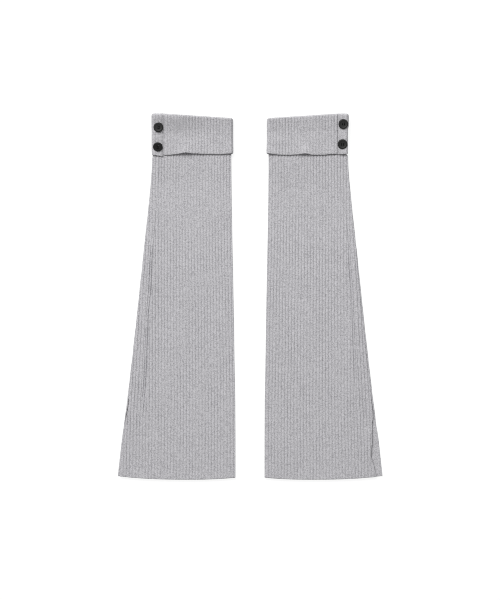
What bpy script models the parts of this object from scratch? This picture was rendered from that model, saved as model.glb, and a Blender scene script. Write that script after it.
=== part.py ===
"""Pair of rib-knit leg warmers, laid flat side by side.

Each leg warmer is a flared tube: a front panel lies on a back panel, a cuff is turned down
over the top of both, a button tab comes round the outer side from the back of the cuff and
laps over its front, and two four-hole buttons sit on the tab.  The side seam ends in a slit
above the hem.

Every point is found from three sizes: across, its distance from the line midway between the
two leg warmers; up, its place along the leg, +Y towards the cuff; and level, its height over
the surface that the pair lies on.  Sizes are in millimetres, and MM turns them to metres.
"""

import math
from collections import namedtuple

import bmesh
import bpy
import numpy
from mathutils import Matrix

MM = 0.001
WELD = 0.00001  # metres; points of a turned solid closer than this are one

# Cloth
CLOTH = 1.8  # thickness of the rib knit
SEAM_GAP = 0.3  # between two pieces at a seam, and between plies that touch
EDGE_BEND = 0.15  # inside radius of a panel's bent edge and of the roll at the cuff's top
CLOTH_BEND = EDGE_BEND + CLOTH  # outside radius of the same bends

# Levels over the middle of the flattened tube
PANEL_IN = SEAM_GAP / 2 + EDGE_BEND
PANEL_OUT = PANEL_IN + CLOTH
CUFF_IN = PANEL_OUT + SEAM_GAP
CUFF_OUT = CUFF_IN + CLOTH
TAB_IN = CUFF_OUT + SEAM_GAP
TAB_OUT = TAB_IN + CLOTH

# The tube's middle is higher where the back of the cuff lies under it
STEP_LOW = 146.0
STEP_HIGH = 188.0

# Top and hem
TOP_OUTER = 247.0  # top of the cuff's roll at its outer end
TOP_INNER = 240.9
TOP_SLOPE_FROM = 119.0  # the top edge slopes from here in to TOP_SLOPE_TO
TOP_SLOPE_TO = 22.7
HEM_LOWEST = -246.9
HEM_LOWEST_ACROSS = 84.0
HEM_AT_INNER = -243.8
HEM_AT_OUTER = -242.1
HEM_BLEND = 30.0  # the curve of the hem dies out this far above it
BACK_HEM_RISE = 0.8  # the back panel's hem stays hidden by this much
ROLL_LEG = 3.0  # the cuff's inside end below its roll, where the panels are sewn to it

# Visible outline of the flattened tube, narrower where it goes into the cuff
Outline = namedtuple("Outline", "up inner outer")
OUTLINE = (
    Outline(-248.0, 19.5, 179.5),
    Outline(-193.0, 19.5, 173.5),
    Outline(-139.0, 19.8, 166.1),
    Outline(-85.0, 20.8, 159.8),
    Outline(-31.0, 21.6, 153.8),
    Outline(23.0, 22.6, 148.1),
    Outline(77.0, 23.7, 142.5),
    Outline(131.0, 24.6, 136.6),
    Outline(184.0, 25.0, 132.4),
    Outline(189.0, 24.8, 132.2),
    Outline(190.4, 24.8, 130.0),
    Outline(190.8, 24.8, 128.4),
    Outline(245.0, 24.8, 128.4),
)
CUFF_INNER = 24.8  # visible sides of the cuff, without the tab's bend
CUFF_OUTER = 129.6
CUFF_END_BACK = 1.1  # the outer end of the cuff's front bends down this far inside the tab's bend

# Side slit: how far the front panel's outer edge stands back from the back panel's
Slit = namedtuple("Slit", "up left right")
SLIT = (
    Slit(-240.0, 3.0, 8.2),
    Slit(-233.0, 2.9, 8.4),
    Slit(-216.0, 3.1, 11.0),
    Slit(-193.0, 3.0, 8.6),
    Slit(-180.0, 3.9, 6.4),
    Slit(-160.0, 1.9, 3.4),
    Slit(-147.0, 1.5, 1.8),
    Slit(-136.0, 0.0, 0.6),
    Slit(-120.0, 0.0, 0.0),
)

# Lower edge of each cuff, and how far a wave in it stands off the panel
CuffEdge = namedtuple("CuffEdge", "across up lift")
CUFF_EDGE = {
    "left": (
        CuffEdge(22.0, 193.4, 1.4),
        CuffEdge(31.0, 192.6, 0.6),
        CuffEdge(40.0, 192.2, 0.2),
        CuffEdge(60.0, 192.4, 0.2),
        CuffEdge(74.0, 192.9, 1.2),
        CuffEdge(88.0, 194.1, 3.0),
        CuffEdge(101.0, 191.9, 0.7),
        CuffEdge(109.0, 191.2, 0.0),
        CuffEdge(132.0, 191.2, 0.0),
    ),
    "right": (
        CuffEdge(22.0, 193.4, 1.6),
        CuffEdge(31.0, 192.4, 0.8),
        CuffEdge(40.0, 191.5, 0.2),
        CuffEdge(62.0, 191.6, 0.5),
        CuffEdge(74.0, 192.9, 2.8),
        CuffEdge(86.0, 191.3, 0.4),
        CuffEdge(98.0, 191.3, 0.0),
        CuffEdge(110.0, 192.4, 0.0),
        CuffEdge(132.0, 192.4, 0.0),
    ),
}
LIFT_REACH = 22.0  # a wave in the cuff's edge dies out this far above it

# The fat roll holds the front of a cuff off the panels, more towards its top: by how much from
# the inner to the outer side, and the share of that at a distance from the roll's top
CUFF_STAND = 1.0
Roll = namedtuple("Roll", "across height")
ROLL = {
    "left": (
        Roll(22.0, 5.0),
        Roll(45.0, 5.5),
        Roll(67.0, 7.0),
        Roll(93.0, 9.8),
        Roll(132.0, 7.4),
    ),
    "right": (
        Roll(22.0, 4.8),
        Roll(40.0, 5.4),
        Roll(62.0, 4.4),
        Roll(95.0, 4.9),
        Roll(132.0, 4.7),
    ),
}
Climb = namedtuple("Climb", "up share")
CLIMB = (
    Climb(-55.0, 0.0),
    Climb(-41.0, 0.058),
    Climb(-29.0, 0.184),
    Climb(-23.0, 0.316),
    Climb(-17.0, 0.519),
    Climb(-6.0, 0.927),
    Climb(-CLOTH_BEND, 1.0),
)

# Button tab: its free end on the front, its lower and upper edges
Tab = namedtuple("Tab", "end low")
TAB = {"left": Tab(117.0, 190.0), "right": Tab(118.4, 191.6)}
TAB_TOP_DROP = CLOTH_BEND / 2  # the tab's top edge below the top of the roll
TAB_CORNER = 3.0  # corner radius where its top edge goes over the outer side

# Buttons: place, tilt about X and turn of the holes about the button's own axis, in degrees
Button = namedtuple("Button", "name side across up tilt turn")
BUTTONS = (
    Button("left_button_upper", "left", 123.6, 228.4, 12.0, 0.0),
    Button("left_button_lower", "left", 124.4, 202.3, 24.0, 10.0),
    Button("right_button_upper", "right", 125.4, 232.7, 8.0, 0.0),
    Button("right_button_lower", "right", 124.4, 205.7, 3.0, -8.0),
)
BUTTON_RADIUS = 6.35  # 20 ligne
BUTTON_SEGMENTS = 32
ButtonRing = namedtuple("ButtonRing", "radius level")
BUTTON_PROFILE = (
    ButtonRing(0.0, 1.5),
    ButtonRing(3.6, 1.55),
    ButtonRing(4.3, 2.2),
    ButtonRing(5.0, 2.5),
    ButtonRing(5.8, 2.3),
    ButtonRing(BUTTON_RADIUS, 1.5),
    ButtonRing(6.1, 0.6),
    ButtonRing(5.2, 0.0),
    ButtonRing(0.0, 0.0),
)
HOLE_RADIUS = 0.8
HOLE_SPREAD = 1.35  # each hole's centre from the button's two middle lines
HOLE_SEGMENTS = 10
HOLE_OVERRUN = 1.0

# Divisions of the meshes
BEND_STEPS = 4  # in a quarter turn
ROLL_STEPS = 6  # in the half turn of the cuff's roll
PANEL_ACROSS = 6
PANEL_UPS = (
    (-248.0, -240.0, -233.0, -216.0, -204.0, -193.0, -180.0, -160.0, -147.0, -136.0)
    + (-85.0, -31.0, 23.0, 77.0, 131.0, 146.0, 155.0, 163.0, 171.0, 179.0, 184.0, 189.0)
    + (190.4, 190.8, 200.0, 245.0)
)
CUFF_FRONT_ACROSS = 12
CUFF_BACK_ACROSS = 5
TAB_FLAT_STEPS = 3
SEAT_STEPS = 13

SIDES = {"left": -1.0, "right": 1.0}
FRONT = 1.0
BACK = -1.0

Finish = namedtuple("Finish", "name colour roughness")
PANEL_KNIT = Finish("heather_grey_rib", (0.468, 0.462, 0.485), 0.95)
CUFF_KNIT = Finish("heather_grey_cuff_rib", (0.455, 0.449, 0.472), 0.95)
BUTTON_PLASTIC = Finish("black_button_plastic", (0.027, 0.027, 0.026), 0.35)

# A place round the flattened tube: share runs 0 to 1 from the bend at the inner edge to the
# bend at the outer edge, angle is 90 on the flat and 0 at the very edge, edge is -1 on the
# inner bend, +1 on the outer bend and 0 on the flat, and facing is FRONT or BACK
Station = namedtuple("Station", "share angle edge facing")


def read(table, column, at, key="up"):
    """Value of a column of a table at a place between its rows."""
    places = [getattr(row, key) for row in table]
    values = [getattr(row, column) for row in table]
    return float(numpy.interp(at, places, values))


def ramp(low, high, at):
    """Share from 0 at low to 1 at high, held outside them."""
    return min(max((at - low) / (high - low), 0.0), 1.0)


def smooth(low, high, at):
    """The same with soft ends."""
    share = ramp(low, high, at)
    return share * share * (3.0 - 2.0 * share)


def middle(up):
    """Level of the flattened tube's middle."""
    return PANEL_OUT + (CUFF_OUT - PANEL_OUT) * smooth(STEP_LOW, STEP_HIGH, up)


def roll_top(across):
    """Top of the cuff's roll."""
    return TOP_INNER + (TOP_OUTER - TOP_INNER) * ramp(TOP_SLOPE_TO, TOP_SLOPE_FROM, across)


def hem(across):
    """The hem's curve, a parabola each way from its lowest point."""
    if across < HEM_LOWEST_ACROSS:
        end = (OUTLINE[0].inner, HEM_AT_INNER)
    else:
        end = (OUTLINE[0].outer, HEM_AT_OUTER)
    share = (across - HEM_LOWEST_ACROSS) / (end[0] - HEM_LOWEST_ACROSS)
    return HEM_LOWEST + (end[1] - HEM_LOWEST) * share * share


def bend_angles(first, last):
    """Angles of a quarter turn, in degrees."""
    return [first + (last - first) * step / BEND_STEPS for step in range(BEND_STEPS + 1)]


def shares(count, first=0.0, last=1.0):
    """Evenly spaced shares, both ends included."""
    return [first + (last - first) * step / (count - 1) for step in range(count)]


def held_off(side, across, up):
    """How far the roll holds the front of a cuff off the panels at a place."""
    share = read(CLIMB, "share", up - roll_top(across))
    return CUFF_STAND + read(ROLL[side], "height", across, "across") * share


def place(side, up, station, start, end, radius, raised=0.0):
    """Point of the flattened tube at a radius from the middle of its cloth's bends.

    A point on the front is raised that far more, and one part way round a bend less.
    """
    angle = math.radians(station.angle)
    across = start + station.share * (end - start) + station.edge * radius * math.cos(angle)
    level = middle(up) + station.facing * (SEAM_GAP / 2 + radius * math.sin(angle))
    if station.facing == FRONT:
        level += raised * math.sin(angle)
    return (SIDES[side] * across * MM, up * MM, level * MM)


def material(finish):
    """Principled material of one finish."""
    made = bpy.data.materials.new(finish.name)
    made.use_nodes = True
    shader = made.node_tree.nodes["Principled BSDF"]
    shader.inputs["Base Color"].default_value = (*finish.colour, 1.0)
    shader.inputs["Roughness"].default_value = finish.roughness
    shader.inputs["Metallic"].default_value = 0.0
    made.diffuse_color = (*finish.colour, 1.0)
    return made


def add_node(name, mesh, finish):
    """Put a mesh in the scene as one node, its round stretches shaded smooth."""
    mesh.shade_smooth()
    mesh.set_sharp_from_angle(angle=math.radians(45.0))
    if not mesh.materials:
        mesh.materials.append(finish)
    node = bpy.data.objects.new(name, mesh)
    bpy.context.scene.collection.objects.link(node)
    return node


def add_wall(name, outer, inner, finish):
    """Close two equal grids of points, the two faces of a cloth, into one solid wall."""
    wall = bmesh.new()
    rows = len(outer)
    columns = len(outer[0])
    cells = [(row, column) for row in range(rows) for column in range(columns)]
    faces = [{(r, c): wall.verts.new(grid[r][c]) for r, c in cells} for grid in (outer, inner)]
    for row in range(rows - 1):
        for column in range(columns - 1):
            corners = ((row, column), (row, column + 1), (row + 1, column + 1), (row + 1, column))
            for face in faces:
                wall.faces.new([face[corner] for corner in corners])
    border = (
        [(0, column) for column in range(columns)]
        + [(row, columns - 1) for row in range(1, rows)]
        + [(rows - 1, column) for column in range(columns - 2, -1, -1)]
        + [(row, 0) for row in range(rows - 2, 0, -1)]
    )
    for here, there in zip(border, border[1:] + border[:1]):
        wall.faces.new((faces[0][here], faces[0][there], faces[1][there], faces[1][here]))
    bmesh.ops.recalc_face_normals(wall, faces=wall.faces)
    mesh = bpy.data.meshes.new(name)
    wall.to_mesh(mesh)
    wall.free()
    return add_node(name, mesh, finish)


def panel_stations(facing):
    """A panel from its inner edge to its outer edge, both bent half way round."""
    inner = [Station(0.0, angle, -1.0, facing) for angle in bend_angles(0.0, 90.0)]
    outer = [Station(1.0, angle, 1.0, facing) for angle in bend_angles(90.0, 0.0)]
    flat = [Station(share, 90.0, 0.0, facing) for share in shares(PANEL_ACROSS)[1:-1]]
    return inner + flat + outer


def panel_up(facing, row_up, across):
    """Move a row near the hem on to the hem's curve, and the last row under the roll."""
    rise = BACK_HEM_RISE if facing == BACK else 0.0
    low = PANEL_UPS[0]
    high = PANEL_UPS[-1]
    hem_move = (hem(across) + rise - low) * (1.0 - ramp(low, low + HEM_BLEND, row_up))
    end = roll_top(across) - CLOTH_BEND - ROLL_LEG - SEAM_GAP
    top_move = (end - high) * ramp(PANEL_UPS[-2], high, row_up)
    return row_up + hem_move + top_move


def add_panel(side, facing, name, finish):
    """Front or back panel, a flat wall with its inner and outer edges bent to the other."""
    outer = []
    inner = []
    for row_up in PANEL_UPS:
        inset = read(SLIT, side, row_up) if facing == FRONT else 0.0
        start = read(OUTLINE, "inner", row_up) + CLOTH_BEND
        end = read(OUTLINE, "outer", row_up) - inset - CLOTH_BEND
        outer_row = []
        inner_row = []
        for station in panel_stations(facing):
            up = panel_up(facing, row_up, start + station.share * (end - start))
            outer_row.append(place(side, up, station, start, end, CLOTH_BEND))
            inner_row.append(place(side, up, station, start, end, EDGE_BEND))
        outer.append(outer_row)
        inner.append(inner_row)
    return add_wall(name, outer, inner, finish)


def cuff_stations():
    """The cuff from its front outer end, round the inner edge, to its back outer end."""
    end_bend = [Station(1.0, angle, 1.0, FRONT) for angle in bend_angles(0.0, 90.0)[:-1]]
    front = [Station(share, 90.0, 0.0, FRONT) for share in shares(CUFF_FRONT_ACROSS, 1.0, 0.0)]
    bend_front = [Station(0.0, angle, -1.0, FRONT) for angle in bend_angles(90.0, 0.0)[1:]]
    bend_back = [Station(0.0, angle, -1.0, BACK) for angle in bend_angles(0.0, 90.0)]
    back = [Station(share, 90.0, 0.0, BACK) for share in shares(CUFF_BACK_ACROSS)[1:]]
    return end_bend + front + bend_front + bend_back + back


def cuff_profile(low, high, lift):
    """Both faces of the cuff from its lower edge up, over the roll and down inside.

    Each entry holds the place up the leg and the distance from the tube's middle, first of
    the face that shows, then of the face against the panel, and the share of the roll's
    lift that reaches it.
    """
    centre = high - CLOTH_BEND
    roll = (PANEL_OUT + CUFF_IN) / 2
    profile = []
    for up in [low] + [high + row.up for row in CLIMB[1:-1]]:
        off = lift * (1.0 - ramp(low, low + LIFT_REACH, up)) ** 2
        profile.append(((up, CUFF_OUT + off), (up, CUFF_IN + off), 1.0))
    for step in range(ROLL_STEPS + 1):
        angle = math.pi * step / ROLL_STEPS
        rise = math.sin(angle)
        reach = math.cos(angle)
        shown = (centre + CLOTH_BEND * rise, roll + CLOTH_BEND * reach)
        hidden = (centre + EDGE_BEND * rise, roll + EDGE_BEND * reach)
        profile.append((shown, hidden, 0.5 + 0.5 * reach))
    profile.append(((centre - ROLL_LEG, PANEL_IN), (centre - ROLL_LEG, PANEL_OUT), 0.0))
    return profile


def cuff_limits():
    """Where the flat stretch of the cuff starts and where the tab's bend starts."""
    return CUFF_INNER + CLOTH_BEND, CUFF_OUTER - CLOTH_BEND


def add_cuff(side, name, finish):
    """The turned-down cuff: front, inner edge and back in one wall."""
    outer = []
    inner = []
    edge = CUFF_EDGE[side]
    start, bend = cuff_limits()
    for station in cuff_stations():
        end = bend - (CUFF_END_BACK if station.facing == FRONT else SEAM_GAP)
        reach = station.edge * CUFF_OUT * math.cos(math.radians(station.angle))
        across = start + station.share * (end - start) + reach
        lift = read(edge, "lift", across, "across") if station.facing == FRONT else 0.0
        low = read(edge, "up", across, "across")
        outer_row = []
        inner_row = []
        for shown, hidden, share in cuff_profile(low, roll_top(across), lift):
            raised = held_off(side, across, shown[0]) * share
            for (up, off), row in ((shown, outer_row), (hidden, inner_row)):
                row.append(place(side, up, station, start, end, off - SEAM_GAP / 2, raised))
        outer.append(outer_row)
        inner.append(inner_row)
    return add_wall(name, outer, inner, finish)


def tab_stations():
    """The tab from the cuff's back end round the outer side, and shares of its flat front."""
    turn = [(Station(1.0, angle, 1.0, BACK), 0.0) for angle in bend_angles(90.0, 0.0)]
    turn += [(Station(1.0, angle, 1.0, FRONT), 0.0) for angle in bend_angles(0.0, 90.0)]
    flat = Station(1.0, 90.0, 0.0, FRONT)
    return turn + [(flat, share) for share in shares(TAB_FLAT_STEPS)[1:]]


def tab_rows(low, reach, across):
    """Places up the tab, its corner rounded where it goes over the outer side."""
    widest = (CUFF_IN + TAB_IN) / 2 + CLOTH
    past = ramp(widest - TAB_CORNER, widest, reach)
    drop = TAB_CORNER * (1.0 - math.sqrt(1.0 - past * past))
    high = roll_top(across) - TAB_TOP_DROP
    ups = [low] + [roll_top(across) + row.up for row in CLIMB[1:]] + [high]
    return [low + (up - low) * (high - drop - low) / (high - low) for up in ups]


def tab_raised(side, across, up):
    """How far the front of the tab is raised, less where it follows the roll over its top."""
    over = ramp(-CLOTH_BEND, 0.0, up - roll_top(across))
    nose = math.sqrt(1.0 - over * over)
    return held_off(side, across, up) * (0.5 + 0.5 * nose) - CLOTH_BEND * (1.0 - nose)


def add_tab(side, name, finish):
    """The button tab, from the back of the cuff round the outer side to its free end.

    It starts level with the back of the cuff and ends a seam gap over the cuff's front.
    """
    back_low = CUFF_EDGE[side][-1].up
    start, bend = cuff_limits()
    outer = []
    inner = []
    for station, flat_share in tab_stations():
        turned = (90.0 + station.facing * station.angle) / 180.0
        hidden_off = CUFF_IN + (TAB_IN - CUFF_IN) * turned - SEAM_GAP / 2
        shown_off = hidden_off + CLOTH
        reach = station.edge * shown_off * math.cos(math.radians(station.angle))
        low = back_low + (TAB[side].low - back_low) * turned
        end = bend - flat_share * (bend - TAB[side].end)
        outer_row = []
        inner_row = []
        for up in tab_rows(low, reach, end):
            raised = tab_raised(side, end, up)
            outer_row.append(place(side, up, station, start, end, shown_off, raised))
            inner_row.append(place(side, up, station, start, end, hidden_off, raised))
        outer.append(outer_row)
        inner.append(inner_row)
    return add_wall(name, outer, inner, finish)


def turned_button():
    """Solid button of revolution with its underside at level 0."""
    turned = bmesh.new()
    spots = [turned.verts.new((ring.radius * MM, 0.0, ring.level * MM)) for ring in BUTTON_PROFILE]
    edges = [turned.edges.new(pair) for pair in zip(spots, spots[1:])]
    bmesh.ops.spin(
        turned,
        geom=spots + edges,
        cent=(0.0, 0.0, 0.0),
        axis=(0.0, 0.0, 1.0),
        angle=math.tau,
        steps=BUTTON_SEGMENTS,
    )
    bmesh.ops.remove_doubles(turned, verts=turned.verts, dist=WELD)
    bmesh.ops.recalc_face_normals(turned, faces=turned.faces)
    mesh = bpy.data.meshes.new("button_blank")
    turned.to_mesh(mesh)
    turned.free()
    return mesh


def hole_cutter():
    """Four round pins that cut the sewing holes."""
    pins = bmesh.new()
    depth = (max(ring.level for ring in BUTTON_PROFILE) + 2.0 * HOLE_OVERRUN) * MM
    for across in (-HOLE_SPREAD, HOLE_SPREAD):
        for up in (-HOLE_SPREAD, HOLE_SPREAD):
            bmesh.ops.create_cone(
                pins,
                cap_ends=True,
                segments=HOLE_SEGMENTS,
                radius1=HOLE_RADIUS * MM,
                radius2=HOLE_RADIUS * MM,
                depth=depth,
                matrix=Matrix.Translation((across * MM, up * MM, depth / 2 - HOLE_OVERRUN * MM)),
            )
    mesh = bpy.data.meshes.new("hole_pins")
    pins.to_mesh(mesh)
    pins.free()
    return mesh


def button_mesh(finish):
    """The button with its holes cut, as one mesh that every button shares."""
    blank = bpy.data.objects.new("button_blank", turned_button())
    cutter = bpy.data.objects.new("hole_pins", hole_cutter())
    cutter.hide_render = True
    cutter.display_type = "WIRE"
    for node in (blank, cutter):
        bpy.context.scene.collection.objects.link(node)
    cut = blank.modifiers.new("holes", "BOOLEAN")
    cut.operation = "DIFFERENCE"
    cut.solver = "EXACT"
    cut.object = cutter
    depsgraph = bpy.context.evaluated_depsgraph_get()
    mesh = bpy.data.meshes.new_from_object(blank.evaluated_get(depsgraph))
    mesh.name = "four_hole_button"
    mesh.materials.clear()
    mesh.materials.append(finish)
    for node in (blank, cutter):
        bpy.data.objects.remove(node, do_unlink=True)
    return mesh


def add_button(button, mesh, finish):
    """Place a button over the tab, a seam gap above the highest of the cloth under it."""
    node = add_node(button.name, mesh, finish)
    tilt = math.radians(button.tilt)
    radius = BUTTON_PROFILE[-2].radius
    seats = []
    for share in shares(SEAT_STEPS, -1.0, 1.0):
        up = button.up + share * BUTTON_RADIUS * math.cos(tilt)
        cloth = held_off(button.side, button.across, up)
        seats.append(cloth - min(max(share * BUTTON_RADIUS, -radius), radius) * math.sin(tilt))
    level = middle(button.up) + TAB_OUT + SEAM_GAP + max(seats)
    node.location = (SIDES[button.side] * button.across * MM, button.up * MM, level * MM)
    node.rotation_mode = "ZYX"
    node.rotation_euler = (tilt, 0.0, math.radians(button.turn))
    return node


def main():
    for node in list(bpy.data.objects):
        bpy.data.objects.remove(node, do_unlink=True)
    panel_knit = material(PANEL_KNIT)
    cuff_knit = material(CUFF_KNIT)
    plastic = material(BUTTON_PLASTIC)
    for side in SIDES:
        add_panel(side, FRONT, side + "_front_panel", panel_knit)
        add_panel(side, BACK, side + "_back_panel", panel_knit)
        add_cuff(side, side + "_cuff", cuff_knit)
        add_tab(side, side + "_button_tab", cuff_knit)
    mesh = button_mesh(plastic)
    for button in BUTTONS:
        add_button(button, mesh, plastic)


main()
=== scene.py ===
"""Looks of a pair of rib-knit leg warmers, laid flat side by side.

Every piece of cloth is a thin closed shell whose ribs are real relief.  A leg warmer is a
flattened tube, and a point of its cloth is found from three sizes in millimetres: along, the
distance along the cloth from the inner edge; up, its place along the leg; and off, how far it
stands off the tube's middle.  across is measured from the line midway between the two leg
warmers.  MM turns the sizes to metres.
"""

import math
from collections import namedtuple

import bmesh
import bpy
import numpy as np
from mathutils import Matrix, Vector


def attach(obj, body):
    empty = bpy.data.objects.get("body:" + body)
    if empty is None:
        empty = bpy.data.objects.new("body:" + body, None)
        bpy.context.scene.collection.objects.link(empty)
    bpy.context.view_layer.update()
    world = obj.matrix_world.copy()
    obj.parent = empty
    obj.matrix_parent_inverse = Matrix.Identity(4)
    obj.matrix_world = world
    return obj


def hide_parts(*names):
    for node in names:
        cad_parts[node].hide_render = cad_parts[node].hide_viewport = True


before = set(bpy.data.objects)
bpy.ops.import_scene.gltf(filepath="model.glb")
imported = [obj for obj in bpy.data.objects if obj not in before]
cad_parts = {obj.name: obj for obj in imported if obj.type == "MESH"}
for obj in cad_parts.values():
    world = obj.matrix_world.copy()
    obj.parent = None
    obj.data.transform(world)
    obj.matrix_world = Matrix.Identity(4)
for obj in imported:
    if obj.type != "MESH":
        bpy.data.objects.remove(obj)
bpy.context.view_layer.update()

MM = 0.001
QUARTER = math.pi / 2
FAR = 99.0  # stands for a distance from an edge where there is none
FRONT = 1.0
BACK = -1.0
SIDES = {"left": -1.0, "right": 1.0}

# ---------------------------------------------------------------------------------------------
# Sizes of the cloth, in millimetres

SEAM_GAP = 0.3
PANEL_IN = 0.3  # from the tube's middle to the hidden and to the shown face of each ply
PANEL_OUT = 2.1
CUFF_IN = 2.4
CUFF_OUT = 4.2
TAB_IN = 4.5
TAB_OUT = 6.3
CLOTH_BEND = 1.95  # radius of the roll at the cuff's top, and how far its bends reach past the flat

STEP_LOW = 146.0  # between these the tube climbs on to the back of the cuff
STEP_HIGH = 190.0

# The roll's top is level from the outer side in to TOP_SLOPE_FROM, and slopes down to TOP_SLOPE_TO
TOP_OUTER = 247.0
TOP_INNER = 240.8
TOP_SLOPE_FROM = 119.0
TOP_SLOPE_TO = 22.7

HEM_BASE = -248.4  # the panels' lowest row, before the hem's curve lifts it
HEM_LOWEST = -246.7
HEM_LOWEST_ACROSS = 84.0
HEM_AT_INNER = -243.8
HEM_AT_OUTER = -241.9
HEM_CURVE = 2.4  # the power of distance by which the hem rises each way
HEM_BLEND = 30.0  # the rows straighten out over this height
BACK_HEM_RISE = 0.3

# Inner and outer edge, the outer one going in under the tab near its top
Outline = namedtuple("Outline", "up inner outer")
OUTLINE = (
    Outline(-248.4, 18.9, 180.0),
    Outline(-193.0, 18.9, 174.0),
    Outline(-139.0, 19.2, 166.5),
    Outline(-85.0, 20.2, 160.2),
    Outline(-31.0, 21.0, 154.2),
    Outline(23.0, 22.0, 148.5),
    Outline(77.0, 23.1, 143.0),
    Outline(131.0, 24.0, 137.1),
    Outline(165.0, 24.3, 134.1),
    Outline(177.0, 24.4, 133.1),
    Outline(188.5, 24.4, 132.8),
    Outline(190.5, 24.3, 132.5),
    Outline(191.7, 24.2, 132.0),
    Outline(192.7, 24.2, 130.4),
    Outline(197.5, 24.2, 129.1),
    Outline(245.0, 24.2, 129.1),
)
CUFF_OUTER = 130.1  # the bends of the cuff and tab are laid out from here
CUFF_END_BACK = 1.1  # the cuff's front bends down this far inside the tab's bend
CUFF_END_THIN = {"left": 0.1, "right": 0.95}  # and is squeezed this much thinner there

INNER_EASE = {"left": 0.8, "right": 0.2}  # how much further out the edges lie than the outline
OUTER_EASE = {"left": -0.4, "right": -0.55}
TUCK_EARLIER = {"left": 1.3, "right": 0.5}  # how much lower the side goes in under the tab

# Side seam and slit: roll is how far the seam has rolled round to the front, inset how far the
# front's free edge stands back in the slit, gape how far that edge stands up, and curl how much of
# the back's edge still turns up as it does at the seam
Side = namedtuple("Side", "up roll inset gape curl")
SIDE = {
    "left": (
        Side(-250.0, 0.0, 2.4, 0.0, 0.1),
        Side(-233.0, 0.0, 2.9, 0.2, 0.1),
        Side(-216.0, 0.0, 3.1, 0.4, 0.15),
        Side(-193.0, 0.0, 3.0, 0.8, 0.2),
        Side(-180.0, 0.0, 3.2, 0.8, 0.3),
        Side(-170.0, 0.6, 2.4, 0.6, 0.8),
        Side(-160.0, 2.0, 1.5, 0.8, 1.0),
        Side(-150.0, 2.9, 1.2, 0.8, 1.0),
        Side(-142.0, 3.0, 0.9, 0.5, 1.0),
        Side(-136.0, 2.2, 0.0, 0.0, 1.0),
        Side(-120.0, 1.6, 0.0, 0.0, 1.0),
        Side(-20.0, 1.4, 0.0, 0.0, 1.0),
        Side(60.0, 0.2, 0.0, 0.0, 1.0),
        Side(245.0, 0.0, 0.0, 0.0, 1.0),
    ),
    "right": (
        Side(-250.0, 0.0, 8.0, 0.0, 0.1),
        Side(-233.0, 0.0, 9.2, 0.3, 0.1),
        Side(-222.0, 0.0, 11.4, 0.3, 0.1),
        Side(-216.0, 0.0, 12.4, 0.9, 0.1),
        Side(-206.0, 0.0, 11.0, 0.9, 0.1),
        Side(-196.0, 0.0, 9.4, 1.5, 0.1),
        Side(-186.0, 0.0, 8.6, 2.2, 0.15),
        Side(-180.0, 0.0, 7.2, 0.8, 0.2),
        Side(-172.0, 0.0, 6.0, 0.2, 0.4),
        Side(-162.0, 1.6, 2.7, 0.4, 0.9),
        Side(-152.0, 2.8, 1.2, 0.5, 1.0),
        Side(-143.0, 3.0, 0.7, 0.3, 1.0),
        Side(-135.0, 3.0, 0.0, 0.0, 1.0),
        Side(-30.0, 3.0, 0.0, 0.0, 1.0),
        Side(40.0, 2.4, 0.0, 0.0, 1.0),
        Side(75.0, 0.4, 0.0, 0.0, 1.0),
        Side(245.0, 0.0, 0.0, 0.0, 1.0),
    ),
}
SLIT_TOP = -140.0
SLIT_FLAT = -176.0  # below this the slit's edges have unrolled
SEAM_OPENS = 0.5  # share of the unrolling past which the cloth no longer turns in to the seam
EDGE_FREE = 0.35  # and past which the side's edge is a cut one
FRONT_UNROLLS = 0.75  # share of its bend that the front's edge loses in the slit
GAPE_WIDTH = 7.0

# Lower edge of each cuff, which is higher under the tab, and how far its waves stand off the panel
CuffEdge = namedtuple("CuffEdge", "across up lift")
CUFF_EDGE = {
    "left": (
        CuffEdge(22.0, 193.6, 1.6),
        CuffEdge(31.0, 192.8, 0.7),
        CuffEdge(40.0, 192.0, 0.3),
        CuffEdge(60.0, 192.2, 0.3),
        CuffEdge(74.0, 192.9, 1.3),
        CuffEdge(88.0, 194.1, 3.5),
        CuffEdge(101.0, 191.9, 0.7),
        CuffEdge(109.0, 191.0, 0.1),
        CuffEdge(117.5, 191.0, 0.0),
        CuffEdge(122.0, 199.0, 0.0),
        CuffEdge(132.0, 199.0, 0.0),
    ),
    "right": (
        CuffEdge(22.0, 193.4, 2.5),
        CuffEdge(31.0, 192.4, 1.0),
        CuffEdge(40.0, 191.3, 0.3),
        CuffEdge(54.0, 190.9, 0.2),
        CuffEdge(62.0, 191.6, 0.5),
        CuffEdge(74.0, 192.9, 3.3),
        CuffEdge(86.0, 191.1, 0.4),
        CuffEdge(98.0, 191.1, 0.2),
        CuffEdge(110.0, 192.4, 0.6),
        CuffEdge(119.0, 192.4, 0.4),
        CuffEdge(123.0, 200.0, 0.0),
        CuffEdge(132.0, 200.0, 0.0),
    ),
}
LIFT_REACH = 24.0  # the waves fade out over this height

# The tab's free end, its lower edge there and at the outer side, how far it settles on the panel
# and how closely it hugs the side
Tab = namedtuple("Tab", "end low low_outer settle snug")
TAB = {"left": Tab(117.0, 189.2, 190.8, 1.3, 0.2), "right": Tab(118.4, 192.0, 192.2, 0.8, 1.1)}
TAB_SQUARENESS = 0.65  # below 1 the bend round the side is squarer than a circle
TAB_SIDE = 5.25  # how far the tab stands out at the outer side
TAB_TOP_DROP = 0.05
TAB_CORNER = 3.0
TAB_THINNING = 1.45  # the tab thins towards its free end and is pressed flat there
TAB_THINNEST = 0.1
TAB_EDGE = 0.1
TAB_EDGE_REACH = 1.6
TAB_BED = 0.4  # the tab has pressed this far into the cuff, so its end is level with the cuff
TAB_BED_SLOPE = 0.8
TAB_SETTLE_REACH = 8.0  # its lower end settles over this height
TAB_SETTLES_FROM = 0.3  # and past this share of its turn round the side
TAB_SNUG_AT = 228.0  # it hugs the side below this
TAB_SNUG_BLEND = 4.0
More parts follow.
